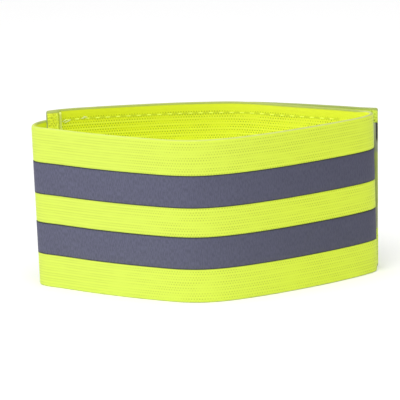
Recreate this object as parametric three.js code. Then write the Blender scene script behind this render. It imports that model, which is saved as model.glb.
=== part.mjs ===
// Reflective armband: a strip of woven elastic bent into a loop that stands on its lower edge.
// Millimetres, +Z up. X runs along the loop's width, and -Y is the front, where the stripes show.
// The strip's inner end lies inside the loop at the back left. From there the strip runs right
// along the back, round the right bend, left across the front, round the left bend, and right
// again behind its own first layer, to a free outer end at the back right.

import * as THREE from 'three';

// Strip of elastic, with a hem folded onto the inner face of its inner end
const BAND_HEIGHT = 50;
const BAND_WALL = 1.2;
const HALF_WALL = BAND_WALL / 2;
const HEM_LENGTH = 3.5;
const HEM_SLOPE = 0.25;

// Reflective tapes, flush in shallow channels of the strip's outer face
const TAPE_HEIGHT = 10;
const TAPE_THICKNESS = 0.3;
const TAPE_GAP = 0.1;
const CHANNEL_DEPTH = TAPE_THICKNESS + TAPE_GAP;
const CHANNEL_SLOPE = 0.05;
const TAPE_START_MARGIN = 1.5;
const LOWER_TAPE_BOTTOM = 10.3;
const UPPER_TAPE_BOTTOM = 29.2;

// Hook-and-loop closure between the two layers of the back
const PATCH_GAP = 0.15;
const LOOP_THICKNESS = 0.8;
const LOOP_BOTTOM = 3;
const LOOP_HEIGHT = 44;
const LOOP_START = 1.2;
const LOOP_LENGTH = 92;
const HOOK_THICKNESS = 0.7;
const HOOK_BOTTOM = 12.5;
const HOOK_HEIGHT = 33;
const HOOK_LENGTH = 32;
const HOOK_END_MARGIN = 0.2;
const OPEN_SPACE = LOOP_THICKNESS + 3 * PATCH_GAP;
const CLOSED_SPACE = OPEN_SPACE + HOOK_THICKNESS;
const SPACE_EASE = 0.2;

// Plan of the strip's centreline, from the inner end to the outer end. On the first layer, rise
// lifts the lower edge off the floor and space is the clear room left to the outer layer. Where
// the strip stands out of plumb, leanX and leanY carry its upper edge away from its lower one.
const FIRST_LAYER = [
  { x: -42.6, y: 4.6, rise: 3.5, space: OPEN_SPACE },
  { x: -37.4, y: 7.5, rise: 3.2, space: OPEN_SPACE },
  { x: -28.2, y: 10.2, rise: 2.8, space: OPEN_SPACE },
  { x: -15.9, y: 12.9, rise: 2.3, space: OPEN_SPACE },
  { x: -3.5, y: 15.1, rise: 1.8, space: OPEN_SPACE + SPACE_EASE },
  { x: 7.0, y: 16.5, rise: 1.3, space: CLOSED_SPACE - SPACE_EASE },
  { x: 14.0, y: 16.8, rise: 1.0, space: CLOSED_SPACE },
  { x: 20.0, y: 16.1, rise: 0.7, space: CLOSED_SPACE },
  { x: 31.0, y: 12.4, rise: 0.3, space: CLOSED_SPACE },
  { x: 42.0, y: 8.0, rise: 0.1, space: CLOSED_SPACE },
  { x: 48.2, y: 5.3, rise: 0, space: CLOSED_SPACE },
];
const RIGHT_BEND = [
  { x: 52.0, y: 3.7, leanY: -0.8 },
  { x: 54.4, y: 2.4, leanY: -1.0 },
  { x: 55.2, y: 0.7, leanY: -1.4 },
  { x: 54.4, y: -1.0, leanY: -1.8 },
];
const FRONT = [
  { x: 51.4, y: -3.7, leanY: -2.0 },
  { x: 46.5, y: -7.1, leanY: -1.6 },
  { x: 39.9, y: -11.1, leanY: -1.2 },
  { x: 25.9, y: -18.2, leanY: -0.8 },
  { x: 14.3, y: -22.8, leanY: -0.4 },
  { x: 8.5, y: -24.4 },
  { x: 2.8, y: -24.9 },
  { x: -3.2, y: -23.9 },
  { x: -13.7, y: -19.5 },
  { x: -28.1, y: -11.9 },
  { x: -40.7, y: -3.9 },
];
const LEFT_BEND = [
  { x: -45.0, y: -1.2 },
  { x: -46.6, y: 0.6 },
  { x: -46.6, y: 2.8 },
  { x: -45.6, y: 4.9 },
];
const FREE_END = [
  { x: 52.3, y: 6.8 },
  { x: 56.0, y: 5.1, leanX: 1.2 },
];
const COLUMNS_PER_ROW = 3;

// The outer layer of the back follows the first one at the room that the table gives
function outerLayer() {
  return FIRST_LAYER.map((row, index) => {
    const before = FIRST_LAYER[Math.max(index - 1, 0)];
    const after = FIRST_LAYER[Math.min(index + 1, FIRST_LAYER.length - 1)];
    const run = new THREE.Vector2(after.x - before.x, after.y - before.y).normalize();
    const pitch = BAND_WALL + row.space;
    return { x: row.x - run.y * pitch, y: row.y + run.x * pitch };
  });
}

const planRows = [
  ...FIRST_LAYER, ...RIGHT_BEND, ...FRONT, ...LEFT_BEND, ...outerLayer(), ...FREE_END,
];
const lowerEdge = new THREE.CatmullRomCurve3(
  planRows.map(({ x, y, rise = 0 }) => new THREE.Vector3(x, y, rise)),
);
const upperEdge = new THREE.CatmullRomCurve3(
  planRows.map(({ x, y, rise = 0, leanX = 0, leanY = 0 }) => (
    new THREE.Vector3(x + leanX, y + leanY, rise + BAND_HEIGHT)
  )),
);

// Columns along the strip: the curve's own parameter, and the length from the inner end
const columnCount = (planRows.length - 1) * COLUMNS_PER_ROW;
const evenColumns = [];
for (let index = 0; index <= columnCount; index += 1) {
  const t = index / columnCount;
  const point = lowerEdge.getPoint(t);
  const last = evenColumns.at(-1);
  evenColumns.push({ t, point, along: last ? last.along + last.point.distanceTo(point) : 0 });
}

// The curve's parameter at a length from the inner end
function parameterAt(along) {
  const next = Math.max(evenColumns.findIndex((column) => column.along >= along), 1);
  const [a, b] = [evenColumns[next - 1], evenColumns[next]];
  return THREE.MathUtils.mapLinear(along, a.along, b.along, a.t, b.t);
}

// Where each piece starts and ends along the strip
const STRIP_LENGTH = evenColumns.at(-1).along;
const LOOP_END = LOOP_START + LOOP_LENGTH;
const TAPE_START = LOOP_END + TAPE_START_MARGIN;
const CHANNEL_START = TAPE_START - TAPE_GAP;
const HOOK_END = STRIP_LENGTH - HOOK_END_MARGIN;
const HOOK_START = HOOK_END - HOOK_LENGTH;
const exactLengths = [
  HEM_LENGTH, HEM_LENGTH + HEM_SLOPE, LOOP_START, LOOP_END,
  CHANNEL_START - CHANNEL_SLOPE, CHANNEL_START, TAPE_START, HOOK_START, HOOK_END,
];
const columns = [
  ...evenColumns,
  ...exactLengths.map((along) => ({ t: parameterAt(along), along })),
].sort((a, b) => a.along - b.along);

// A point of the strip: offset is measured outward from its centreline, and no point dips
// below its own height over the floor
function placeOnStrip(t, offset, height) {
  const point = lowerEdge.getPoint(t).lerp(upperEdge.getPoint(t), height / BAND_HEIGHT);
  const run = lowerEdge.getTangent(t).setZ(0).normalize();
  point.x -= run.y * offset;
  point.y += run.x * offset;
  point.z = Math.max(point.z, height);
  return point;
}

// A flat box bent along the strip from start to end, with a row of faces between two levels.
// offsetAt gives a face's distance outward from the strip's centreline.
function bentStrip({ start, end, levels, innerOffsetAt, outerOffsetAt }) {
  const used = columns.filter((column) => column.along >= start && column.along <= end);
  const box = new THREE.BoxGeometry(1, 1, 1, used.length - 1, 1, levels.length - 1);
  const position = box.attributes.position;
  for (let index = 0; index < position.count; index += 1) {
    const column = used[Math.round((position.getX(index) + 0.5) * (used.length - 1))];
    const level = levels[Math.round((position.getZ(index) + 0.5) * (levels.length - 1))];
    const offsetAt = position.getY(index) > 0 ? outerOffsetAt : innerOffsetAt;
    const point = placeOnStrip(column.t, offsetAt(column.along, level), level.height);
    position.setXYZ(index, point.x, point.y, point.z);
  }
  box.computeVertexNormals();
  return box;
}

// The lines of one tape's channel: the outer face drops to the channel's floor and comes back
function channelLevels(tapeBottom) {
  const floorBottom = tapeBottom - TAPE_GAP;
  const floorTop = tapeBottom + TAPE_HEIGHT + TAPE_GAP;
  return [
    { height: floorBottom - CHANNEL_SLOPE, depth: 0 },
    { height: floorBottom, depth: CHANNEL_DEPTH },
    { height: floorTop, depth: CHANNEL_DEPTH },
    { height: floorTop + CHANNEL_SLOPE, depth: 0 },
  ];
}

function elasticBand() {
  return bentStrip({
    start: 0,
    end: STRIP_LENGTH,
    levels: [
      { height: 0, depth: 0 },
      ...channelLevels(LOWER_TAPE_BOTTOM),
      ...channelLevels(UPPER_TAPE_BOTTOM),
      { height: BAND_HEIGHT, depth: 0 },
    ],
    innerOffsetAt: (along) => -HALF_WALL - (along <= HEM_LENGTH ? BAND_WALL : 0),
    outerOffsetAt: (along, level) => HALF_WALL - (along < CHANNEL_START ? 0 : level.depth),
  });
}

// A flat layer of even thickness beside the strip, such as a tape or a patch
function flatLayer({ start, end, bottom, height, innerOffset, outerOffset }) {
  return bentStrip({
    start,
    end,
    levels: [{ height: bottom }, { height: bottom + height }],
    innerOffsetAt: () => innerOffset,
    outerOffsetAt: () => outerOffset,
  });
}

function reflectiveTape(bottom) {
  return flatLayer({
    start: TAPE_START,
    end: STRIP_LENGTH,
    bottom,
    height: TAPE_HEIGHT,
    innerOffset: HALF_WALL - TAPE_THICKNESS,
    outerOffset: HALF_WALL,
  });
}

// The soft half lies on the outer face of the inner end
function loopPatch() {
  return flatLayer({
    start: LOOP_START,
    end: LOOP_END,
    bottom: LOOP_BOTTOM,
    height: LOOP_HEIGHT,
    innerOffset: HALF_WALL + PATCH_GAP,
    outerOffset: HALF_WALL + PATCH_GAP + LOOP_THICKNESS,
  });
}

// The stiff half lies on the inner face of the outer end
function hookPatch() {
  return flatLayer({
    start: HOOK_START,
    end: HOOK_END,
    bottom: HOOK_BOTTOM,
    height: HOOK_HEIGHT,
    innerOffset: -HALF_WALL - PATCH_GAP - HOOK_THICKNESS,
    outerOffset: -HALF_WALL - PATCH_GAP,
  });
}

// Materials
const elasticLime = new THREE.MeshStandardMaterial({ color: '#cfe84a', roughness: 0.85 });
const tapeGrey = new THREE.MeshStandardMaterial({ color: '#55556a', roughness: 0.5, metalness: 0.1 });
const loopLime = new THREE.MeshStandardMaterial({ color: '#c3dd45', roughness: 0.95 });
const hookLime = new THREE.MeshStandardMaterial({ color: '#b4cc4c', roughness: 0.7 });

function addPiece(group, name, geometry, material) {
  const mesh = new THREE.Mesh(geometry, material);
  mesh.name = name;
  group.add(mesh);
}

const armband = new THREE.Group();
addPiece(armband, 'elastic_band', elasticBand(), elasticLime);
addPiece(armband, 'reflective_stripe_lower', reflectiveTape(LOWER_TAPE_BOTTOM), tapeGrey);
addPiece(armband, 'reflective_stripe_upper', reflectiveTape(UPPER_TAPE_BOTTOM), tapeGrey);
addPiece(armband, 'loop_patch', loopPatch(), loopLime);
addPiece(armband, 'hook_patch', hookPatch(), hookLime);

// The origin is the middle of the footprint, on the floor
const middle = new THREE.Box3().setFromObject(armband).getCenter(new THREE.Vector3());
armband.position.set(-middle.x, -middle.y, 0);

export default armband;
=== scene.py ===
"""Looks of the reflective armband: ribbed elastic bent into a loop, two grey reflective tapes,
and a hook-and-loop closure between the two layers of the back."""

import math
from types import SimpleNamespace

import bpy
import numpy as np
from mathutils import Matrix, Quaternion, Vector


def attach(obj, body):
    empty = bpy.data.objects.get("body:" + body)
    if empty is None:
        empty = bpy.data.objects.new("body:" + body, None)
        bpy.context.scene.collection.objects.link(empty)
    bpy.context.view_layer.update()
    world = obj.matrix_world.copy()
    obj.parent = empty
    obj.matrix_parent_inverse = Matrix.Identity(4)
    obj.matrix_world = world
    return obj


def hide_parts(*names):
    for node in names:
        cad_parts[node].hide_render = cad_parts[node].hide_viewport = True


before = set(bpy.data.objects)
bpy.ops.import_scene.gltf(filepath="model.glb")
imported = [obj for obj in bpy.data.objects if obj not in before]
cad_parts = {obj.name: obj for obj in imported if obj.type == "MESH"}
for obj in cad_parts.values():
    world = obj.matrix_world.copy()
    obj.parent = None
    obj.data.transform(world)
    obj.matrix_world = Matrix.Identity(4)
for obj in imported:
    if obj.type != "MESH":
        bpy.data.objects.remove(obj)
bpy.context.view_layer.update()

# Sizes are in millimetres. The CAD source has the same plan, which is shifted by this much.
METRES = 0.001
ORIGIN_SHIFT = np.array([-5.0529, 2.4756, 0.0])

# Strip of elastic, with narrow ridges along it on both faces
BAND_HEIGHT = 50.0
BAND_WALL = 1.2
HALF_WALL = BAND_WALL / 2
RIB_COUNT = 30
RIB_PITCH = BAND_HEIGHT / RIB_COUNT
RIB_RISE = 0.03
RIB_RISE_INSIDE = 0.06
RIB_FOOT = 0.2
SELVEDGE = 2.4
GIRTH = 2 * (BAND_HEIGHT + RIB_PITCH)
RIM_RADIUS = 0.54
RIM_STEPS = 6
MARK_ROOM = 0.2
STATION_STEP = 1.3
BEND_STEP = 0.5
BENDS = [(97, 111), (213, 229)]
END_STEPS = 6
END_ANGLE = 0.12
END_ROUND = 0.35
END_DROP = 0.6

# Hem folded onto the inner face of the inner end
HEM_LENGTH = 3.5
HEM_ROOM = 0.03
HEM_SEAM = 2.5
HEM_EDGE_RADIUS = 0.4
HEM_EDGE_INSET = 0.7
HEM_EDGE_SINK = 0.15
HEM_EDGE_WAVE = 0.05
HEM_EDGE_TURN = 2.1
HEM_EDGE_STEPS = 60
HEM_EDGE_SIDES = 10
HEM_ZONE_END = 1.0
FOLD_LINE = -0.05
FOLD_ROUND = 0.45
FOLD_CENTRE = BAND_WALL + HEM_ROOM / 2 - FOLD_ROUND
FOLD_STEPS = 10

# Reflective tapes
TAPE_HEIGHT = 10.0
TAPE_THICKNESS = 0.3
TAPE_GAP = 0.08
TAPE_EDGE = 0.12
TAPE_ROWS = 5
TAPE_START_MARGIN = 1.5
TAPE_END_ROOM = 0.3
TAPE_BOTTOMS = {"lower": 10.3, "upper": 29.2}
TAPE_THREAD_PITCH = 0.8
TAPE_THREAD_RISE = 0.018
CHANNEL_DEPTH = TAPE_THICKNESS + 0.1
CHANNEL_SLOPE = 0.1

# Soft half of the closure
PATCH_GAP = 0.15
LOOP_THICKNESS = 0.8
LOOP_BOTTOM = 3.0
LOOP_HEIGHT = 44.0
LOOP_START = 1.2
LOOP_LENGTH = 92.0
LOOP_END = LOOP_START + LOOP_LENGTH
LOOP_NAP = 0.35
LOOP_STATION = 1.1
LOOP_EDGE = 0.3
LOOP_UNEVEN = 0.08
LOOP_RADIUS = 0.035
LOOP_ROWS = 40
LOOP_SIDES = 4
LOOP_SMALLEST = 0.75
LOOPS_PER_AREA = 0.6
LOOP_ARCH = [(-0.3, -0.1), (-0.28, 0.16), (0, 0.32), (0.28, 0.16), (0.3, -0.1)]

# Stiff half of the closure
HOOK_THICKNESS = 0.7
HOOK_BOTTOM = 12.5
HOOK_HEIGHT = 33.0
HOOK_LENGTH = 32.0
HOOK_END_MARGIN = 0.2
HOOK_BASE = 0.25
HOOK_BACK = -0.45
HOOK_REACH = 0.7
HOOK_RADIUS = 0.05
HOOK_EDGE = 0.06
HOOK_ROWS = 20
HOOK_STATIONS = 42
HOOK_SIDES = 5
HOOK_PITCH = 1.1
HOOK_SEAM_INSET = 1.2
HOOK_ROW_SHARE = 0.8
HOOK_START_ROOM = 0.8
HOOK_LOW_ROOM = 0.7
HOOK_FAR_ROOM = 0.6
HOOK_SHAPE = [(0, -0.05), (0, 0.24), (0.07, 0.36), (0.2, 0.4), (0.3, 0.32), (0.31, 0.22)]

# Seams
STITCH_PITCH = 3.2
STITCH_LENGTH = 2.75
LOOP_STITCH = 1.1
STITCH_RADIUS = 0.14
STITCH_SIDES = 8
LOOP_SEAMS = (3.4, 46.6)
LOOP_SEAM_START = 5.0
LOOP_SEAM_END = LOOP_END - 0.6
SEAM_REACH = 0.45
SEAM_DEPTH = 0.16
SEAM_EVEN = 0.6
STITCH_SINK = 0.05
HOOK_STITCH_SINK = 0.03
HEM_SEAM_MARGIN = 1.6

# A stitch from end to end. Rows are shares of its half length, and rise over the cloth.
STITCH_SHAPE = [(-1, -0.2), (-0.82, 0), (-0.4, 0.09), (0, 0.11), (0.4, 0.09), (0.82, 0), (1, -0.2)]

# Back-tack beside the hem, and two loose tacks. Those rows are length along the strip,
# height over the seam, and turn.
TACK_COUNT = 4
TACK_START = 5.6
TACK_STEP = 0.5
TACK_DROP = 0.5
TACK_WAVE = 0.25
TACK_WAVE_TURN = 2.4
TACK_TURN = 0.5
TACK_LENGTH = 1.2
TACK_RADIUS = 0.15
LOOSE_TACKS = [(11.8, 0.2, 0.2), (12.4, 0.5, -0.3)]

# Room between the two layers of the back
OPEN_SPACE = LOOP_THICKNESS + 3 * PATCH_GAP
CLOSED_SPACE = OPEN_SPACE + HOOK_THICKNESS
SPACE_EASE = 0.2

# Plan of the centreline. Rows are x, y, rise of the lower edge, and room to the outer layer.
FIRST_LAYER = [
    (-42.6, 4.6, 3.5, OPEN_SPACE),
    (-37.4, 7.5, 3.2, OPEN_SPACE),
    (-28.2, 10.2, 2.8, OPEN_SPACE),
    (-15.9, 12.9, 2.3, OPEN_SPACE),
    (-3.5, 15.1, 1.8, OPEN_SPACE + SPACE_EASE),
    (7.0, 16.5, 1.3, CLOSED_SPACE - SPACE_EASE),
    (14.0, 16.8, 1.0, CLOSED_SPACE),
    (20.0, 16.1, 0.7, CLOSED_SPACE),
    (31.0, 12.4, 0.3, CLOSED_SPACE),
    (42.0, 8.0, 0.1, CLOSED_SPACE),
    (48.2, 5.3, 0.0, CLOSED_SPACE),
]
# From here on rows are x, y, and how far the upper edge leans in x and y
RIGHT_BEND = [
    (52.0, 3.7, 0, -0.8),
    (54.4, 2.4, 0, -1.0),
    (55.2, 0.7, 0, -1.4),
    (54.4, -1.0, 0, -1.8),
]
FRONT = [
    (51.4, -3.7, 0, -2.0),
    (46.5, -7.1, 0, -1.6),
    (39.9, -11.1, 0, -1.2),
    (25.9, -18.2, 0, -0.8),
    (14.3, -22.8, 0, -0.4),
    (8.5, -24.4, 0, 0),
    (2.8, -24.9, 0, 0),
    (-3.2, -23.9, 0, 0),
    (-13.7, -19.5, 0, 0),
    (-28.1, -11.9, 0, 0),
    (-40.7, -3.9, 0, 0),
]
LEFT_BEND = [
    (-45.0, -1.2, 0, 0),
    (-46.6, 0.6, 0, 0),
    (-46.6, 2.8, 0, 0),
    (-45.6, 4.9, 0, 0),
]
FREE_END = [
    (52.3, 6.8, 0, 0),
    (56.0, 5.1, 1.2, 0),
]
COLUMNS_PER_ROW = 3
TANGENT_STEP = 0.0001
SEED = 7


def outer_layer():
    """The outer layer of the back follows the first one at the room that the table gives."""
    rows = []
    last = len(FIRST_LAYER) - 1
    for index, (x, y, _, space) in enumerate(FIRST_LAYER):
        before = FIRST_LAYER[max(index - 1, 0)]
        after = FIRST_LAYER[min(index + 1, last)]
        run = np.array([after[0] - before[0], after[1] - before[1]])
        run /= np.linalg.norm(run)
        pitch = BAND_WALL + space
        rows.append((x - run[1] * pitch, y + run[0] * pitch, 0, 0))
    return rows


def edge_points():
    """Rows of the lower and the upper edge's curve."""
    lower = [(x, y, rise) for x, y, rise, _ in FIRST_LAYER]
    upper = [(x, y, rise + BAND_HEIGHT) for x, y, rise, _ in FIRST_LAYER]
    for x, y, lean_x, lean_y in RIGHT_BEND + FRONT + LEFT_BEND + outer_layer() + FREE_END:
        lower.append((x, y, 0))
        upper.append((x + lean_x, y + lean_y, BAND_HEIGHT))
    return np.array(lower, float), np.array(upper, float)


def curve_at(points, t):
    """Centripetal Catmull-Rom curve through the points, at parameters from 0 to 1."""
    padded = np.vstack([2 * points[0] - points[1], points, 2 * points[-1] - points[-2]])
    place = np.clip(t, 0, 1) * (len(points) - 1)
    cell = np.minimum(place.astype(int), len(points) - 2)
    weight = (place - cell)[:, None]
    before, start, end, after = (padded[cell + step] for step in range(4))
    gap_before = np.sqrt(np.linalg.norm(start - before, axis=1))[:, None]
    gap = np.sqrt(np.linalg.norm(end - start, axis=1))[:, None]
    gap_after = np.sqrt(np.linalg.norm(after - end, axis=1))[:, None]
    leave = (start - before) / gap_before - (end - before) / (gap_before + gap)
    leave = (leave + (end - start) / gap) * gap
    arrive = (end - start) / gap - (after - start) / (gap + gap_after)
    arrive = (arrive + (after - end) / gap_after) * gap
    square = 3 * (end - start) - 2 * leave - arrive
    cube = 2 * (start - end) + leave + arrive
    return start + weight * (leave + weight * (square + weight * cube))


LOWER_EDGE, UPPER_EDGE = edge_points()
COLUMN_T = np.linspace(0, 1, (len(LOWER_EDGE) - 1) * COLUMNS_PER_ROW + 1)
COLUMN_POINTS = curve_at(LOWER_EDGE, COLUMN_T)
COLUMN_STEPS = np.linalg.norm(np.diff(COLUMN_POINTS, axis=0), axis=1)
COLUMN_ALONG = np.concatenate([[0], np.cumsum(COLUMN_STEPS)])

STRIP_LENGTH = float(COLUMN_ALONG[-1])
TAPE_START = LOOP_END + TAPE_START_MARGIN
HOOK_END = STRIP_LENGTH - HOOK_END_MARGIN
HOOK_START = HOOK_END - HOOK_LENGTH


def place_on_strip(along, offset, height):
    """Points in the shared frame, in metres, from lengths along the strip, outward offsets and
    heights in millimetres. The three may be arrays that fit one another. The strip runs
    straight on past its ends."""
    along, offset, height = np.broadcast_arrays(along, offset, height)
    shape = along.shape
    along, offset, height = (np.asarray(v, float).ravel() for v in (along, offset, height))
    within = np.clip(along, 0, STRIP_LENGTH)
    t = np.interp(within, COLUMN_ALONG, COLUMN_T)
    share = (height / BAND_HEIGHT)[:, None]
    points = curve_at(LOWER_EDGE, t) * (1 - share) + curve_at(UPPER_EDGE, t) * share
    run = curve_at(LOWER_EDGE, t + TANGENT_STEP) - curve_at(LOWER_EDGE, t - TANGENT_STEP)
    run[:, 2] = 0
    run /= np.linalg.norm(run, axis=1)[:, None]
    points += run * (along - within)[:, None]
    points[:, 0] -= run[:, 1] * offset
    points[:, 1] += run[:, 0] * offset
    return ((points + ORIGIN_SHIFT) * METRES).reshape(*shape, 3)


def swept_faces(stations, around):
    """Quads of a closed profile swept over stations, as station and profile numbers. The
    profile starts at its lowest point, rises on the outer side and falls on the inner one."""
    station, mark = np.meshgrid(np.arange(stations - 1), np.arange(around), indexing="ij")
    station, mark = station.ravel(), mark.ravel()
    rows = np.stack([station, station, station + 1, station + 1], axis=1)
    marks = np.stack([mark, mark + 1, mark + 1, mark], axis=1)
    return rows, marks


def swept_piece(name, points, lengths, girths, material):
    """A piece from a profile swept over stations. points has one row per station. lengths and
    girths are the distances along the sweep and round the profile, which the UV map keeps."""
    stations, around = points.shape[:2]
    rows, marks = swept_faces(stations, around)
    u = np.asarray(lengths) / lengths[-1]
    v = np.asarray(girths) / girths[-1]
    faces = (rows * around + marks % around).tolist()
    uvs = np.stack([u[rows], v[marks]], axis=2).reshape(-1, 2).tolist()
    for station in (0, stations - 1):
        corners = range(around) if station else range(around - 1, -1, -1)
        faces.append([station * around + corner for corner in corners])
        uvs += [(u[station], v[corner]) for corner in corners]
    piece = new_piece(name, points.reshape(-1, 3), faces, material)
    layer = piece.data.uv_layers.new(name="OFBake")
    layer.data.foreach_set("uv", np.array(uvs).ravel())
    return piece


def new_piece(name, points, faces, material):
    """A smooth mesh that rides on the armband's one body."""
    mesh = bpy.data.meshes.new(name)
    mesh.from_pydata(points.tolist(), [], faces)
    mesh.materials.append(material)
    mesh.polygons.foreach_set("use_smooth", [True] * len(mesh.polygons))
    piece = bpy.data.objects.new(name, mesh)
    bpy.context.scene.collection.objects.link(piece)
    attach(piece, "root")
    return piece


def distances(points):
    """Length covered up to each point of a line."""
    steps = np.linalg.norm(np.diff(points, axis=0), axis=1)
    return np.concatenate([[0], np.cumsum(steps)])


# Cloth of the strip


def add_marks(heights, marks):
    """Puts extra heights into the list, moving a height that is already close to one."""
    for mark in marks:
        nearest = int(np.argmin(np.abs(np.array(heights) - mark)))
        if abs(heights[nearest] - mark) < MARK_ROOM:
            heights[nearest] = mark
        else:
            heights.append(mark)


def face_heights():
    """Heights of the profile's points on a face: the ribs, the tapes' edges and the seams."""
    heights = [
        (rib + share) * RIB_PITCH
        for rib in range(RIB_COUNT)
        for share in (0, RIB_FOOT, 0.5, 1 - RIB_FOOT)
    ]
    for bottom in TAPE_BOTTOMS.values():
        for edge, side in ((bottom, -1), (bottom + TAPE_HEIGHT, 1)):
            floor = edge + side * TAPE_GAP
            add_marks(heights, (floor, floor + side * CHANNEL_SLOPE))
    for seam in LOOP_SEAMS:
        add_marks(heights, (seam - SEAM_REACH, seam, seam + SEAM_REACH))
    heights = np.array(sorted(heights))
    return heights[(heights > HALF_WALL) & (heights < BAND_HEIGHT - HALF_WALL)]


def rib_depth(height):
    """0 on top of a ridge and 1 between ridges. The ridges end at the selvedges."""
    phase = np.abs(height / RIB_PITCH - np.round(height / RIB_PITCH))
    ridge = np.clip(1 - phase / RIB_FOOT, 0, 1)
    to_edge = np.minimum(height, BAND_HEIGHT - height)
    return 1 - ridge * np.clip(to_edge / SELVEDGE, 0, 1)


def channel_share(height):
    """1 where a reflective tape lies on the outer face, 0 elsewhere."""
    share = np.zeros_like(height)
    for bottom in TAPE_BOTTOMS.values():
        inside = np.minimum(height - bottom, bottom + TAPE_HEIGHT - height) + TAPE_GAP
        share = np.maximum(share, np.clip(inside / CHANNEL_SLOPE + 1, 0, 1))
    return share


def seam_depth(along, height):
    """How far the loop patch's seams pull the inner face in, more at each needle hole."""
    near = np.zeros_like(height * along)
    for seam in LOOP_SEAMS:
        near = np.maximum(near, np.clip(1 - np.abs(height - seam) / SEAM_REACH, 0, 1))
    hole = 0.5 + 0.5 * np.cos(2 * math.pi * (along - LOOP_SEAM_START) / STITCH_PITCH)
    sewn = (along > LOOP_SEAM_START) & (along < LOOP_SEAM_END)
    return near * sewn * SEAM_DEPTH * (SEAM_EVEN + (1 - SEAM_EVEN) * hole)


def band_profile():
    """The closed profile from the middle of the bottom rim. Rows are height, offset, girth so
    far, and 1 on the outer face, -1 on the inner face or 0 on a rim."""
    heights = face_heights()
    rim = RIM_RADIUS
    angles = np.linspace(0, math.pi, RIM_STEPS + 1)
    half_rim = RIB_PITCH / 2
    turned = angles / math.pi * 2 * (half_rim + rim)
    top = [
        (BAND_HEIGHT - rim + rim * math.sin(a), rim * math.cos(a), half_rim + BAND_HEIGHT - rim + g, 0)
        for a, g in zip(angles, turned)
    ]
    middle = 3 * half_rim + BAND_HEIGHT
    girth = 4 * half_rim + 2 * BAND_HEIGHT
    bottom = [
        (rim - rim * math.sin(a), -rim * math.cos(a), girth - half_rim - rim + g, 0)
        for a, g in zip(angles, turned)
    ]
    outer = [(h, rim, half_rim + h, 1) for h in heights]
    inner = [(h, -rim, middle + BAND_HEIGHT - h, -1) for h in heights[::-1]]
    half = RIM_STEPS // 2
    start = [(h, o, g - girth, f) for h, o, g, f in bottom[half:]]
    return np.array([*start, *outer, *top, *inner, *bottom[:half], bottom[half]])


def band_path():
    """Stations of the sheet: length along the strip, offset, direction, and a scale for the
    thickness. It starts at the hem's free end, goes round the fold and on to the outer end."""
    back = -BAND_WALL - HEM_ROOM
    rows = []
    for angle in np.linspace(END_ANGLE, math.pi / 2, END_STEPS):
        along = HEM_LENGTH - HALF_WALL * (1 - math.cos(angle))
        rows.append((along, back, -1, 0, math.sin(angle)))
    start = rows[-1][0]
    for along in np.arange(start - BEND_STEP, FOLD_CENTRE, -BEND_STEP):
        rows.append((along, back, -1, 0, 1))
    for angle in np.linspace(0, math.pi, FOLD_STEPS):
        cos, sin = math.cos(angle), math.sin(angle)
        rows.append((FOLD_CENTRE + sin * back / 2, back / 2 + cos * back / 2, -cos, sin, 1))
    along = FOLD_CENTRE + BEND_STEP
    end = STRIP_LENGTH + END_ROUND
    while along < end - HALF_WALL - BEND_STEP / 2:
        rows.append((along, 0, 1, 0, 1))
        bent = any(first < along < last for first, last in BENDS)
        along += BEND_STEP if bent else STATION_STEP
    for angle in np.linspace(math.pi / 2, END_ANGLE, END_STEPS):
        along = end - HALF_WALL * (1 - math.cos(angle))
        rows.append((along, 0, 1, 0, math.sin(angle)))
    return np.array(rows)


def band_piece(material):
    """The whole strip as one sheet of cloth, hem included."""
    path = band_path()
    profile = band_profile()
    along, offset, run_along, run_offset, scale = (path[:, [i]] for i in range(5))
    height, base, face = (profile[None, :-1, i] for i in (0, 1, 3))
    rise = np.where(face > 0, RIB_RISE, RIB_RISE_INSIDE)
    relief = HALF_WALL - RIM_RADIUS - rib_depth(height) * rise
    relief = relief - seam_depth(along, height) * (face < 0) * (run_along > 0)
    outward = base + relief * face
    taped = (along > TAPE_START - TAPE_GAP) & (run_along > 0) & (face > 0)
    sunk = channel_share(height) * taped
    outward = outward * (1 - sunk) + (HALF_WALL - CHANNEL_DEPTH) * sunk
    outward = outward * scale
    middle = BAND_HEIGHT / 2
    mottled = (1 - scale) * (along > middle) * END_DROP / middle
    height = middle + (height - middle) * (1 - mottled)
    points = place_on_strip(along - run_offset * outward, offset + run_along * outward, height)
    piece = swept_piece("elastic_cloth", points, distances(path[:, :2]), profile[:, 2], material)
    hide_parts("elastic_band")
    return piece


# Flat layers on the strip


def layer_profile(bottom, height, inner, outer, rows, edge):
    """A flat layer's closed profile from the middle of its underside, with rounded outer edges.
    Rows are height, offset, girth so far, and 1 where the outer face may be shaped."""
    top = bottom + height
    middle = (inner + outer) / 2
    outline = [(bottom, middle, 0), (bottom, outer - edge, 0)]
    outline.append((bottom + edge * 0.3, outer - edge * 0.3, 0))
    outline += [(h, outer, 1) for h in np.linspace(bottom + edge, top - edge, rows)]
    outline.append((top - edge * 0.3, outer - edge * 0.3, 0))
    outline += [(top, outer - edge, 0), (top, inner, 0), (bottom, inner, 0), (bottom, middle, 0)]
    outline = np.array(outline)
    return np.column_stack([outline[:, :2], distances(outline[:, :2]), outline[:, 2]])


def layer_piece(name, along, profile, material, relief=None):
    """A flat layer swept along the strip; relief gives the outer face's shape."""
    height, offset, face = (profile[None, :-1, i] for i in (0, 1, 3))
    length = along[:, None]
    if relief is not None:
        offset = offset + face * relief(length, height)
    points = place_on_strip(length, offset, height)
    return swept_piece(name, points, along - along[0], profile[:, 2], material)


def tape_profile(which):
    """The closed profile of one reflective tape."""
    bottom = TAPE_BOTTOMS[which]
    inner = HALF_WALL - TAPE_THICKNESS
    return layer_profile(bottom, TAPE_HEIGHT, inner, HALF_WALL, TAPE_ROWS, TAPE_EDGE)


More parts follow.
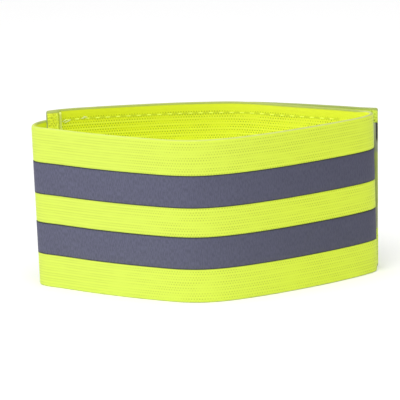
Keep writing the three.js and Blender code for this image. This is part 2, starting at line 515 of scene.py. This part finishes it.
def tape_piece(which, material):
    """One reflective tape, flush with the cloth's ridges, with fine threads across it."""
    along = np.arange(TAPE_START, STRIP_LENGTH - TAPE_END_ROOM, TAPE_THREAD_PITCH / 4)

    def threads(length, height):
        return TAPE_THREAD_RISE * np.cos(2 * math.pi * length / TAPE_THREAD_PITCH) + 0 * height

    piece = layer_piece(f"tape_{which}", along, tape_profile(which), material, threads)
    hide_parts(f"reflective_stripe_{which}")
    return piece


def loop_pieces(material):
    """The soft half of the closure: an uneven felted layer and the small loops that cover it."""
    rng = np.random.default_rng(SEED)
    felt_top = HALF_WALL + PATCH_GAP + LOOP_THICKNESS - LOOP_NAP
    along = np.arange(LOOP_START, LOOP_END, LOOP_STATION)
    profile = layer_profile(LOOP_BOTTOM, LOOP_HEIGHT, HALF_WALL, felt_top, LOOP_ROWS, LOOP_EDGE)

    def felt(length, height):
        return rng.uniform(-LOOP_UNEVEN, LOOP_UNEVEN, np.broadcast(length, height).shape)

    base = layer_piece("loop_base", along, profile, material, felt)
    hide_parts("loop_patch")

    count = int(LOOP_LENGTH * LOOP_HEIGHT * LOOPS_PER_AREA)
    places = np.column_stack([
        rng.uniform(LOOP_START + LOOP_EDGE, LOOP_END - LOOP_EDGE, count),
        np.full(count, felt_top),
        rng.uniform(LOOP_BOTTOM + LOOP_EDGE, LOOP_BOTTOM + LOOP_HEIGHT - LOOP_EDGE, count),
        rng.uniform(0, math.pi, count),
    ])
    sizes = rng.uniform(LOOP_SMALLEST, 1, count)
    loops = thread_piece(
        "loop_pile_threads", LOOP_ARCH, LOOP_RADIUS, LOOP_SIDES, places, material, sizes=sizes
    )
    return [base, loops]


def hook_pieces(material):
    """The stiff half of the closure: a thin tape and rows of small hooks."""
    face = -HALF_WALL - PATCH_GAP
    profile = layer_profile(HOOK_BOTTOM, HOOK_HEIGHT, face - HOOK_BASE, HOOK_BACK, HOOK_ROWS, HOOK_EDGE)
    along = np.linspace(HOOK_START, HOOK_END + HOOK_REACH, HOOK_STATIONS)
    base = layer_piece("hook_base", along, profile, material)
    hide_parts("hook_patch")

    length = np.arange(HOOK_START + HOOK_START_ROOM, HOOK_END - HOOK_FAR_ROOM, HOOK_PITCH)
    top = HOOK_BOTTOM + HOOK_HEIGHT - HOOK_FAR_ROOM
    height = np.arange(HOOK_BOTTOM + HOOK_LOW_ROOM, top, HOOK_PITCH * HOOK_ROW_SHARE)
    length, height = np.meshgrid(length, height, indexing="ij")
    facing = np.where(np.arange(height.shape[1]) % 2, 0, math.pi) + 0 * length
    places = np.column_stack([
        length.ravel(),
        np.full(length.size, face - HOOK_BASE),
        height.ravel(),
        facing.ravel(),
    ])
    hooks = thread_piece("hook_rows", HOOK_SHAPE, HOOK_RADIUS, HOOK_SIDES, places, material, inward=True)
    return [base, hooks]


# Threads


def thread_shape(path, radius, sides):
    """A closed tube round a path in the plane of length and outward offset."""
    path = np.array(path, float)
    run = np.gradient(path, axis=0)
    run /= np.linalg.norm(run, axis=1)[:, None]
    angle = 2 * math.pi * np.arange(sides) / sides
    along = path[:, [0]] - run[:, [1]] * np.cos(angle) * radius
    offset = path[:, [1]] + run[:, [0]] * np.cos(angle) * radius
    height = np.sin(angle) * radius + 0 * along
    points = np.stack([along, offset, height], axis=2).reshape(-1, 3)
    faces = []
    for ring in range(len(path) - 1):
        for side in range(sides):
            after = (side + 1) % sides
            corners = ((ring, side), (ring, after), (ring + 1, after), (ring + 1, side))
            faces.append([row * sides + column for row, column in corners])
    last = (len(path) - 1) * sides
    faces.append([side for side in reversed(range(sides))])
    faces.append([last + side for side in range(sides)])
    return points, faces


def thread_piece(name, path, radius, sides, places, material, inward=False, sizes=None):
    """Copies of one thread, each at a length, offset, height and turn on the strip's face."""
    shape, faces = thread_shape(path, radius, sides)
    places = np.asarray(places, float)
    sizes = np.ones(len(places)) if sizes is None else sizes
    side = -1 if inward else 1
    local = shape[None] * sizes[:, None, None] * (1, side, side)
    cos, sin = np.cos(places[:, [3]]), np.sin(places[:, [3]])
    along = places[:, [0]] + local[:, :, 0] * cos - local[:, :, 2] * sin
    offset = places[:, [1]] + local[:, :, 1]
    height = places[:, [2]] + local[:, :, 0] * sin + local[:, :, 2] * cos
    points = place_on_strip(along, offset, height).reshape(-1, 3)
    count = len(shape)
    starts = range(0, count * len(places), count)
    copies = [[start + corner for corner in face] for start in starts for face in faces]
    return new_piece(name, points, copies, material)


def stitch_path(length):
    """A stitch that dives into the cloth at both ends."""
    half = length / 2
    return [(half * share, rise) for share, rise in STITCH_SHAPE]


def seam_row(start, end, offset, height):
    """Places of the stitches of a seam along the strip."""
    middles = np.arange(start + STITCH_PITCH / 2, end, STITCH_PITCH)
    return [(along, offset, height, 0) for along in middles]


def seam_column(along, offset, bottom, top):
    """Places of the stitches of a seam up the strip."""
    middles = np.arange(bottom + STITCH_PITCH / 2, top, STITCH_PITCH)
    return [(along, offset, height, math.pi / 2) for height in middles]


def seam_pieces(thread, pale_thread):
    """The seams of the loop patch, the hem and the hook patch, and the tacks at their start."""
    low, high = LOOP_SEAMS
    inner = -HALF_WALL + STITCH_SINK
    loop_places = []
    for height in LOOP_SEAMS:
        loop_places += seam_row(LOOP_SEAM_START, LOOP_SEAM_END, inner, height)
    loop_places += seam_column(LOOP_SEAM_END, inner, low, high)
    hem_face = -HALF_WALL - BAND_WALL - HEM_ROOM + STITCH_SINK
    hem_places = seam_column(HEM_SEAM, hem_face, HEM_SEAM_MARGIN, BAND_HEIGHT - HEM_SEAM_MARGIN)
    hook_places = []
    hook_low = HOOK_BOTTOM + HOOK_SEAM_INSET
    hook_high = HOOK_BOTTOM + HOOK_HEIGHT - HOOK_SEAM_INSET
    hook_left, hook_right = HOOK_START + HOOK_SEAM_INSET, HOOK_END - HOOK_SEAM_INSET
    outer = HALF_WALL - HOOK_STITCH_SINK
    for height in (hook_low, hook_high):
        hook_places += seam_row(hook_left, hook_right, outer, height)
    for along in (hook_left, hook_right):
        hook_places += seam_column(along, outer, hook_low, hook_high)
    path = stitch_path(STITCH_LENGTH)
    short = stitch_path(LOOP_STITCH)
    sides = STITCH_SIDES
    seams = [
        thread_piece("loop_seam", short, STITCH_RADIUS, sides, loop_places, thread, inward=True),
        thread_piece("hem_seam", path, STITCH_RADIUS, sides, hem_places, thread, inward=True),
        thread_piece("hook_seam", path, STITCH_RADIUS, sides, hook_places, thread),
    ]
    tacks = []
    for step in range(TACK_COUNT):
        height = high - TACK_DROP + TACK_WAVE * math.cos(step * TACK_WAVE_TURN)
        tacks.append((TACK_START + step * TACK_STEP, inner, height, TACK_TURN))
    tacks += [(along, inner, high + over, turn) for along, over, turn in LOOSE_TACKS]
    tack = stitch_path(TACK_LENGTH)
    seams.append(thread_piece("seam_tacks", tack, TACK_RADIUS, sides, tacks, pale_thread, inward=True))
    return seams


def hem_edge_piece(material):
    """The thick rolled edge of the hem's free end."""
    half = BAND_HEIGHT / 2 - HEM_EDGE_INSET
    rows = np.linspace(-half, half, HEM_EDGE_STEPS)
    path = [(row, HEM_EDGE_WAVE * math.sin(row * HEM_EDGE_TURN)) for row in rows]
    offset = -HALF_WALL - BAND_WALL / 2 - HEM_EDGE_SINK
    places = [(HEM_LENGTH + HEM_EDGE_RADIUS, offset, BAND_HEIGHT / 2, math.pi / 2)]
    return thread_piece("hem_edge", path, HEM_EDGE_RADIUS, HEM_EDGE_SIDES, places, material, inward=True)


# Materials


def add_node(tree, kind, inputs=None, **settings):
    """A node with its settings and inputs, each a value or another node's socket."""
    made = tree.nodes.new(kind)
    for name, value in settings.items():
        setattr(made, name, value)
    for name, value in (inputs or {}).items():
        if isinstance(value, bpy.types.NodeSocket):
            tree.links.new(value, made.inputs[name])
        else:
            made.inputs[name].default_value = value
    return made


def maths(tree, operation, first, second=0.0):
    """The result of a Math node."""
    return add_node(tree, "ShaderNodeMath", {0: first, 1: second}, operation=operation).outputs[0]


def smooth(tree, value, low, high):
    """0 up to low and 1 from high on, with a soft change between them. low may be the larger."""
    sockets = {"Value": value, "From Min": low, "From Max": high}
    made = add_node(tree, "ShaderNodeMapRange", sockets, interpolation_type="SMOOTHSTEP")
    return made.outputs["Result"]


def blended(tree, share, first, second):
    """One colour turning into another, each three numbers or a socket."""
    colors = [c if isinstance(c, bpy.types.NodeSocket) else (*c, 1) for c in (first, second)]
    made = add_node(tree, "ShaderNodeMix", {0: share, 6: colors[0], 7: colors[1]}, data_type="RGBA")
    return made.outputs[2]


def scaled(tree, value, scale, start):
    """start + value * scale."""
    made = add_node(tree, "ShaderNodeMath", {0: value, 1: scale, 2: start}, operation="MULTIPLY_ADD")
    return made.outputs[0]


def product(tree, *values):
    """All the values multiplied."""
    result = values[0]
    for value in values[1:]:
        result = maths(tree, "MULTIPLY", result, value)
    return result


def between(tree, value, low, high, soft):
    """1 from low to high, falling to 0 over a soft distance on either side."""
    rise = smooth(tree, value, low - soft, low)
    fall = smooth(tree, value, high + soft, high)
    return maths(tree, "MULTIPLY", rise, fall)


def eased(tree, share, first, second):
    """A number that goes from first to second as the share goes from 0 to 1."""
    return scaled(tree, share, second - first, first)


def noise(tree, length, height, size_along, size_up, detail=2.0):
    """Even noise around 0.5 whose patches have the given sizes in millimetres."""
    x = maths(tree, "DIVIDE", length, size_along)
    y = maths(tree, "DIVIDE", height, size_up)
    place = add_node(tree, "ShaderNodeCombineXYZ", {"X": x, "Y": y}).outputs[0]
    sockets = {"Vector": place, "Scale": 1.0, "Detail": detail}
    return add_node(tree, "ShaderNodeTexNoise", sockets).outputs[0]


def new_material(name):
    """A node material, its tree and its Principled shader."""
    material = bpy.data.materials.new(name)
    material.use_nodes = True
    tree = material.node_tree
    return material, tree, tree.nodes["Principled BSDF"]


def flat_place(tree, length, girth):
    """Distances in millimetres along a swept piece and round its profile, from its UV map."""
    uv = add_node(tree, "ShaderNodeUVMap", uv_map="OFBake").outputs["UV"]
    parts = add_node(tree, "ShaderNodeSeparateXYZ", {"Vector": uv}).outputs
    return maths(tree, "MULTIPLY", parts["X"], length), maths(tree, "MULTIPLY", parts["Y"], girth)


def cloth_finish(shader, roughness, sheen, specular):
    """Matt cloth: constant roughness, sheen and specular level."""
    shader.inputs["Roughness"].default_value = roughness
    shader.inputs["Specular IOR Level"].default_value = specular
    shader.inputs["Sheen Weight"].default_value = sheen
    shader.inputs["Sheen Roughness"].default_value = 0.5


PILE_LIME = (0.55, 0.68, 0.05)
SEAM_LIME = (0.80, 0.92, 0.13)
TACK_PALE = (0.80, 0.86, 0.42)
HEM_PALE = (0.80, 0.88, 0.25)


def plain_cloth(name, color, glow=0.0):
    """One colour of matt thread, with a painted glow."""
    material, _, shader = new_material(name)
    shader.inputs["Base Color"].default_value = (*color, 1)
    shader.inputs["Emission Color"].default_value = (*color, 1)
    shader.inputs["Emission Strength"].default_value = glow
    cloth_finish(shader, 0.8, 0.1, 0.3)
    return material


# Looks of the elastic. Pairs named reach are where a share starts and where it is full.
LIME = (0.72, 0.88, 0.044)
# Painted light: paler lime on the left of the front, where the key light falls
LIME_LIT_LEFT = (0.74, 0.91, 0.10)
# Painted highlight on the ridges
LIME_RIDGE_HIGHLIGHT = (0.84, 0.97, 0.10)
# Dark lime: painted shade in the pits, at the seam's needle holes, beside the hem's edge and between the
# back's layers, and the colour of a darker mottle
LIME_SHADE_AND_MOTTLE = (0.30, 0.37, 0.006)
# Lit and shaded copies of the inner face's lime: painted light in the middle of the loop, painted shade
# towards its ends
LIME_INSIDE_LIT = (0.80, 0.88, 0.045)
LIME_SHADE = (0.74, 0.82, 0.018)
# Greyish rim colours; the darker one is painted shade at the back
RIM_LIGHT = (0.50, 0.55, 0.21)
RIM_SHADED = (0.31, 0.37, 0.12)
# Painted glow that stands in for fluorescence, stronger on the inner face as painted light inside the
# loop
PAINTED_GLOW = 0.05
PAINTED_GLOW_INSIDE = 0.18

# Ridges and rows of pits, as shares of the distance from one ridge to the next
RIDGE_REACH = (0.36, 0.46)
DOT_ROW = 0.215
ROW_REACH = (0.16, 0.06)

# Pits along a row, and how strongly pits and ridges show
DOT_PITCH = 0.8
DOT_REACH = (0.0, 0.6)
LINE_SHARE = 0.32
PIT_FRONT, PIT_INSIDE = 0.45, 0.75
RIDGE_FRONT, RIDGE_INSIDE = 0.2, 0.55
PIT_BUMP = 0.00012

# Sizes of the noise's patches along and across the strip
UNEVEN_SIZE = (9.0, 3.0)
UNEVEN_REACH = (0.3, 0.62)
MOTTLE_SIZE = (0.5, 0.6)
MOTTLE_REACH = (0.45, 0.62)
FINE_SIZE = (0.5, 0.25)

# Lengths along the strip where its look changes
# Painted light makes the front paler towards its left over this reach
LIT_LEFT_REACH = (120.0, 195.0)
LINES_REACH = (195.0, 165.0)
LIT_AFTER_HEM = (15.0, 80.0)
LIT_BEFORE_BEND = (225.0, 205.0)
# Painted shade on the outer layer's inner face, in the gap between the back's two layers, which stops
# short of the open end
COVERED_REACH = (226.0, 246.0)
OPEN_END = 1.3
OPEN_END_SOFT = 0.4
FRONT_START, FRONT_END, FRONT_SOFT = 102.0, 219.0, 5.0

# Widths across the strip, small marks, and how strongly the rims' grey shows
MARGIN_FRONT, MARGIN_INSIDE = 0.9, 3.0
SEAM_MARK = 0.15
SEAM_MARK_SOFT = 0.35
DASH_REACH = (-0.6, 0.4)
HEM_SOFT = 0.3
HEM_SHADE = (0.85, 1.0)
HEM_TOP_SHADE = (0.1, 0.5)
FOLD_REACH = 0.25
RIM_REACH_BACK, RIM_REACH_FRONT = 1.7, 1.1
RIM_FULL_BACK, RIM_FULL_FRONT = 1.1, 0.8
RIM_SHARE, RIM_SHARE_LIT = 0.85, 0.35


def cloth_place(tree, sheet_length):
    """Where a point of the elastic lies: lengths in millimetres, and shares from 0 to 1."""
    length, girth = flat_place(tree, sheet_length, GIRTH)
    along = maths(tree, "SUBTRACT", length, sheet_length - END_ROUND - STRIP_LENGTH)
    side = maths(tree, "MODULO", girth, GIRTH / 2)
    inside = maths(tree, "GREATER_THAN", girth, GIRTH / 2)
    hem = smooth(tree, along, HEM_ZONE_END + HEM_SOFT, HEM_ZONE_END)
    covered = product(tree, inside, smooth(tree, along, *COVERED_REACH))
    open_start = STRIP_LENGTH - OPEN_END
    return SimpleNamespace(
        length=length,
        girth=girth,
        along=along,
        to_rim=maths(tree, "MINIMUM", side, maths(tree, "SUBTRACT", GIRTH / 2, side)),
        inside=inside,
        hem=hem,
        covered=covered,
        inner=maths(tree, "SUBTRACT", maths(tree, "MAXIMUM", inside, hem), covered),
        open_end=smooth(tree, along, open_start - OPEN_END_SOFT, open_start),
        # Share of painted light on the left of the front
        pale=smooth(tree, along, *LIT_LEFT_REACH),
    )


def cloth_weave(tree, at):
    """Shares of ridge and of pit. Two rows of staggered pits lie between neighbouring ridges,
    and run together into faint lines towards the left of the front."""
    phase = maths(tree, "FRACT", scaled(tree, at.girth, 1 / RIB_PITCH, 0.5))
    from_valley = maths(tree, "ABSOLUTE", maths(tree, "SUBTRACT", phase, 0.5))
    ridge = smooth(tree, from_valley, *RIDGE_REACH)
    from_row = maths(tree, "ABSOLUTE", maths(tree, "SUBTRACT", from_valley, DOT_ROW))
    row = smooth(tree, from_row, *ROW_REACH)
    stagger = scaled(tree, maths(tree, "GREATER_THAN", phase, 0.5), math.pi, 0.0)
    turn = scaled(tree, at.length, 2 * math.pi / DOT_PITCH, stagger)
    dots = smooth(tree, maths(tree, "COSINE", turn), *DOT_REACH)
    sharp = maths(tree, "MAXIMUM", at.inside, smooth(tree, at.along, *LINES_REACH))
    dots = maths(tree, "ADD", product(tree, dots, sharp), eased(tree, sharp, LINE_SHARE, 0.0))

    margin = eased(tree, at.inside, MARGIN_FRONT, MARGIN_INSIDE)
    woven = smooth(tree, at.to_rim, margin, maths(tree, "ADD", margin, 1.0))
    uneven = smooth(tree, noise(tree, at.length, at.girth, *UNEVEN_SIZE), *UNEVEN_REACH)
    strength = eased(tree, at.inside, PIT_FRONT, PIT_INSIDE)
    strength = product(tree, strength, eased(tree, uneven, 0.2, 1.0))
    pit = product(tree, row, dots, woven, strength)
    return product(tree, ridge, woven, eased(tree, uneven, 0.5, 1.0)), pit


def cloth_color(tree, at, ridge, pit):
    """Lime with painted light and shade: paler towards the left of the front, brighter on the inner face
    and deeper in the ends of the loop.
    """
    # Painted light on the inner face, fading to painted shade after the hem and before the left bend
    after_hem = smooth(tree, at.along, *LIT_AFTER_HEM)
    before_bend = smooth(tree, at.along, *LIT_BEFORE_BEND)
    lighted = maths(tree, "MAXIMUM", product(tree, after_hem, before_bend), at.hem)
    inner = blended(tree, lighted, LIME_SHADE, LIME_INSIDE_LIT)
    color = blended(tree, at.inner, blended(tree, at.pale, LIME, LIME_LIT_LEFT), inner)
    # Painted highlight on the ridges and painted shade in the pits
    ridge = product(tree, ridge, eased(tree, at.inside, RIDGE_FRONT, RIDGE_INSIDE))
    color = blended(tree, ridge, color, LIME_RIDGE_HIGHLIGHT)
    color = blended(tree, pit, color, LIME_SHADE_AND_MOTTLE)
    # Painted shade on the outer layer's inner face in the gap behind the first layer, but not at the
    # open end
    gap_shade = product(tree, at.covered, eased(tree, at.open_end, 0.12, 0.0))
    return blended(tree, gap_shade, color, LIME_SHADE_AND_MOTTLE)


def sewn_marks(tree, at, color):
    """Painted shade in dark dashes at the needle holes between the loop patch's stitches and on both
    sides of the hem's edge, and a darker mottle on the hem and the outer end."""
    sewn = between(tree, at.along, LOOP_SEAM_START, LOOP_SEAM_END, 0.5)
    seam = LOOP_SEAMS[0] + RIB_PITCH / 2
    near = between(tree, at.to_rim, seam - SEAM_MARK, seam + SEAM_MARK, SEAM_MARK_SOFT)
    full_turn = 2 * math.pi / STITCH_PITCH
    turn = scaled(tree, at.along, full_turn, -full_turn * LOOP_SEAM_START)
    dash = smooth(tree, maths(tree, "COSINE", turn), *DASH_REACH)
    # Painted shade at the needle holes between the stitches
    dashes = product(tree, near, sewn, at.inside, eased(tree, dash, 0.1, 0.35))
    color = blended(tree, dashes, color, LIME_SHADE_AND_MOTTLE)

    first, last = HEM_SHADE
    shade = between(tree, at.along, HEM_LENGTH + first, HEM_LENGTH + last, HEM_SOFT)
    shade = product(tree, shade, at.inside)
    shade = maths(tree, "MAXIMUM", shade, between(tree, at.length, *HEM_TOP_SHADE, 0.2))
    color = blended(tree, product(tree, shade, 0.5), color, LIME_SHADE_AND_MOTTLE)
    mottle = smooth(tree, noise(tree, at.length, at.girth, *MOTTLE_SIZE), *MOTTLE_REACH)
    # A darker mottle on the hem and on the inner face at the outer end
    mottled = maths(tree, "MAXIMUM", at.hem, product(tree, at.open_end, at.inside))
    return blended(tree, product(tree, mottled, mottle, 0.4), color, LIME_SHADE_AND_MOTTLE)


def rim_marks(tree, at, color):
    """Greyish rims, darker at the back than on the front with painted shade, fainter on the front's left
    where it has painted light, and a grey line along the fold in the back's shaded grey.
    """
    front = between(tree, at.along, FRONT_START, FRONT_END, FRONT_SOFT)
    reach = eased(tree, front, RIM_REACH_BACK, RIM_REACH_FRONT)
    full = eased(tree, front, RIM_FULL_BACK, RIM_FULL_FRONT)
    share = eased(tree, product(tree, front, at.pale), RIM_SHARE, RIM_SHARE_LIT)
    rim = product(tree, smooth(tree, at.to_rim, reach, full), share)
    fold = between(tree, at.along, FOLD_LINE - FOLD_REACH, FOLD_LINE + FOLD_REACH, 0.2)
    rim = maths(tree, "MAXIMUM", rim, fold)
    return blended(tree, rim, color, blended(tree, front, RIM_SHADED, RIM_LIGHT))


def elastic_material(sheet_length):
    """Fluorescent lime elastic with a painted glow, stronger on the inner face as painted light inside
    the loop.
    """
    material, tree, shader = new_material("elastic_lime")
    at = cloth_place(tree, sheet_length)
    ridge, pit = cloth_weave(tree, at)
    color = cloth_color(tree, at, ridge, pit)
    color = sewn_marks(tree, at, color)
    color = rim_marks(tree, at, color)
    tree.links.new(color, shader.inputs["Base Color"])
    tree.links.new(color, shader.inputs["Emission Color"])
    tree.links.new(eased(tree, at.inner, PAINTED_GLOW, PAINTED_GLOW_INSIDE), shader.inputs["Emission Strength"])

    fine = noise(tree, at.length, at.girth, *FINE_SIZE)
    level = maths(tree, "SUBTRACT", product(tree, fine, 0.35), pit)
    sockets = {"Height": level, "Strength": 0.8, "Distance": PIT_BUMP}
    bump = add_node(tree, "ShaderNodeBump", sockets)
    tree.links.new(bump.outputs["Normal"], shader.inputs["Normal"])
    cloth_finish(shader, 0.7, 0.2, 0.35)
    return material


# Looks of the reflective tapes
TAPE_GREY = (0.074, 0.075, 0.122)
# Painted light: lighter grey towards the left of the front, where the key light falls
TAPE_GREY_LIT = (0.136, 0.139, 0.222)
TAPE_DIM = (0.035, 0.036, 0.056)
# Painted shade along the tape's edges, in the gaps of its channel
TAPE_EDGE_SHADE = (0.035, 0.042, 0.018)
TAPE_LIT_REACH = (20.0, 100.0)
TAPE_EDGE_REACH = (0.34, 0.12)
TAPE_BUMP = 0.00005
TAPE_THREAD_SIZE = (0.3, 1.3)
TAPE_THREAD_REACH = (0.42, 0.6)
TAPE_PATCH_SIZE = (9.0, 5.0)


def tape_material(profile):
    """Grey retro-reflective tape with fine uneven threads across it, painted shade along its edges, and
    painted light that makes it lighter towards the left of the front.
    """
    material, tree, shader = new_material("reflective_grey")
    length, girth = flat_place(tree, STRIP_LENGTH - TAPE_END_ROOM - TAPE_START, profile[-1, 2])
    face = profile[profile[:, 3] == 1]
    low, high = float(face[0, 2]), float(face[-1, 2])
    from_low = maths(tree, "SUBTRACT", girth, low)
    from_high = maths(tree, "SUBTRACT", high, girth)
    to_edge = maths(tree, "MINIMUM", from_low, from_high)
    threads = noise(tree, length, girth, *TAPE_THREAD_SIZE, 3.0)
    patches = noise(tree, length, girth, *TAPE_PATCH_SIZE)
    # Random patches of tone, plus painted light towards the left of the front
    tone_and_light = maths(tree, "ADD", product(tree, patches, 0.3), smooth(tree, length, *TAPE_LIT_REACH))
    color = blended(tree, product(tree, tone_and_light, 0.75), TAPE_GREY, TAPE_GREY_LIT)
    dim = smooth(tree, threads, *TAPE_THREAD_REACH)
    color = blended(tree, product(tree, dim, 0.32), color, TAPE_DIM)
    # Painted shade along the tape's edges
    edge = smooth(tree, to_edge, *TAPE_EDGE_REACH)
    color = blended(tree, maths(tree, "MULTIPLY", edge, 0.85), color, TAPE_EDGE_SHADE)
    tree.links.new(color, shader.inputs["Base Color"])
    sockets = {"Height": threads, "Strength": 0.6, "Distance": TAPE_BUMP}
    bump = add_node(tree, "ShaderNodeBump", sockets)
    tree.links.new(bump.outputs["Normal"], shader.inputs["Normal"])
    cloth_finish(shader, 0.55, 0.0, 0.35)
    return material


# Looks of the hook tape. Heights, and the place of its black edge in x, are in the shared frame.
# Painted shade: the lime tape lies in shade behind the front, so it is olive, and darker towards the top
HOOK_OLIVE_SHADED = (0.44, 0.53, 0.12)
HOOK_PALE = (0.50, 0.54, 0.30)
HOOK_GREY_SHADED = (0.30, 0.33, 0.22)
HOOK_DIM_SHADED = (0.33, 0.36, 0.22)
HOOK_BLACK = (0.012, 0.013, 0.010)
HOOK_EDGE_X = 51.6
HOOK_EDGE_SOFT = 0.15
HOOK_PALE_TOP = 18.5
HOOK_DARK_BOTTOM = 36.5
HOOK_DARK_TOP = 41.0


def hook_material():
    """Moulded hooks and their tape: olive, which is lime with painted shade; paler and greyer at the
    bottom, greyer and dimmer towards the top with more painted shade, and with a black upper corner.
    """
    material, tree, shader = new_material("hook_tape")
    place = add_node(tree, "ShaderNodeTexCoord").outputs["Object"]
    parts = add_node(tree, "ShaderNodeSeparateXYZ", {"Vector": place}).outputs
    height = maths(tree, "DIVIDE", parts["Z"], METRES)
    across = maths(tree, "DIVIDE", parts["X"], METRES)
    pale = smooth(tree, height, HOOK_PALE_TOP + 1, HOOK_PALE_TOP)
    grey = smooth(tree, height, HOOK_DARK_BOTTOM - 1, HOOK_DARK_BOTTOM + 1)
    black = smooth(tree, height, HOOK_DARK_TOP - 2, HOOK_DARK_TOP)
    color = blended(tree, pale, HOOK_OLIVE_SHADED, HOOK_PALE)
    # More painted shade towards the top
    color = blended(tree, grey, color, HOOK_GREY_SHADED)
    color = blended(tree, black, color, HOOK_DIM_SHADED)
    edge = smooth(tree, across, HOOK_EDGE_X - HOOK_EDGE_SOFT, HOOK_EDGE_X + HOOK_EDGE_SOFT)
    color = blended(tree, product(tree, edge, black), color, HOOK_BLACK)
    tree.links.new(color, shader.inputs["Base Color"])
    cloth_finish(shader, 0.5, 0.0, 0.4)
    return material


# Stage, lights and camera

CAMERA_TARGET = (-0.002463, 0.002476, 0.02479)
CAMERA_ELEVATION = math.radians(15.5)
CAMERA_DISTANCE = 0.992
CAMERA_LENS = 294.4
CAMERA_SENSOR = 36
CAMERA_ROLL = math.radians(-2.4)
FLOOR_REACH = 6.0
FLOOR_WHITE = 0.95
FLOOR_GLOW = 0.1
SKY = 0.22
KEY_PLACE = (-0.9, -1.1, 1.3)
KEY_SIZE = 2.0
KEY_POWER = 12.3
TOP_PLACE = (0.0, -0.3, 1.6)
TOP_SIZE = 1.6
TOP_POWER = 25


def build_floor():
    """A plain white floor with a weak glow, as the photo's background is pure white."""
    mesh = bpy.data.meshes.new("floor")
    corners = [(-1, -1), (1, -1), (1, 1), (-1, 1)]
    points = [(x * FLOOR_REACH, y * FLOOR_REACH, 0) for x, y in corners]
    mesh.from_pydata(points, [], [(0, 1, 2, 3)])
    material, _, shader = new_material("floor_white")
    shader.inputs["Base Color"].default_value = (FLOOR_WHITE, FLOOR_WHITE, FLOOR_WHITE, 1)
    shader.inputs["Emission Color"].default_value = (1, 1, 1, 1)
    shader.inputs["Emission Strength"].default_value = FLOOR_GLOW
    shader.inputs["Roughness"].default_value = 0.9
    shader.inputs["Specular IOR Level"].default_value = 0.1
    mesh.materials.append(material)
    floor = bpy.data.objects.new("floor", mesh)
    bpy.context.scene.collection.objects.link(floor)


def add_light(name, place, size, power):
    """A square soft box that faces the armband."""
    data = bpy.data.lights.new(name, "AREA")
    data.size = size
    data.energy = power
    light = bpy.data.objects.new(name, data)
    light.location = place
    light.rotation_euler = (Vector(CAMERA_TARGET) - light.location).to_track_quat("-Z", "Y").to_euler()
    bpy.context.scene.collection.objects.link(light)


def build_light():
    """An even white sky, a key from the left and a wide soft box overhead."""
    world = bpy.data.worlds.new("studio")
    world.use_nodes = True
    background = world.node_tree.nodes["Background"]
    background.inputs["Color"].default_value = (1, 1, 1, 1)
    background.inputs["Strength"].default_value = SKY
    bpy.context.scene.world = world
    add_light("key", KEY_PLACE, KEY_SIZE, KEY_POWER)
    add_light("top", TOP_PLACE, TOP_SIZE, TOP_POWER)
    bpy.context.scene.view_settings.view_transform = "Standard"


def build_camera():
    """The photo's view: from the front, a little above, slightly rolled."""
    data = bpy.data.cameras.new("camera")
    data.lens = CAMERA_LENS
    data.sensor_width = CAMERA_SENSOR
    data.clip_start = 0.05
    camera = bpy.data.objects.new("camera", data)
    bpy.context.scene.collection.objects.link(camera)
    away = Vector((0, -math.cos(CAMERA_ELEVATION), math.sin(CAMERA_ELEVATION)))
    camera.location = Vector(CAMERA_TARGET) + away * CAMERA_DISTANCE
    facing = (-away).to_track_quat("-Z", "Y")
    camera.rotation_mode = "QUATERNION"
    camera.rotation_quaternion = facing @ Quaternion((0, 0, 1), CAMERA_ROLL)
    bpy.context.scene.camera = camera


sheet_length = float(distances(band_path()[:, :2])[-1])
cloth = band_piece(elastic_material(sheet_length))
tape_cloth = tape_material(tape_profile("lower"))
tapes = [tape_piece(which, tape_cloth) for which in TAPE_BOTTOMS]
patches = loop_pieces(plain_cloth("loop_pile", PILE_LIME, PAINTED_GLOW)) + hook_pieces(hook_material())
seams = seam_pieces(
    plain_cloth("lime_thread", SEAM_LIME, PAINTED_GLOW_INSIDE),
    plain_cloth("pale_thread", TACK_PALE, PAINTED_GLOW),
)
seams.append(hem_edge_piece(plain_cloth("hem_thread", HEM_PALE, PAINTED_GLOW)))
build_floor()
build_light()
build_camera()
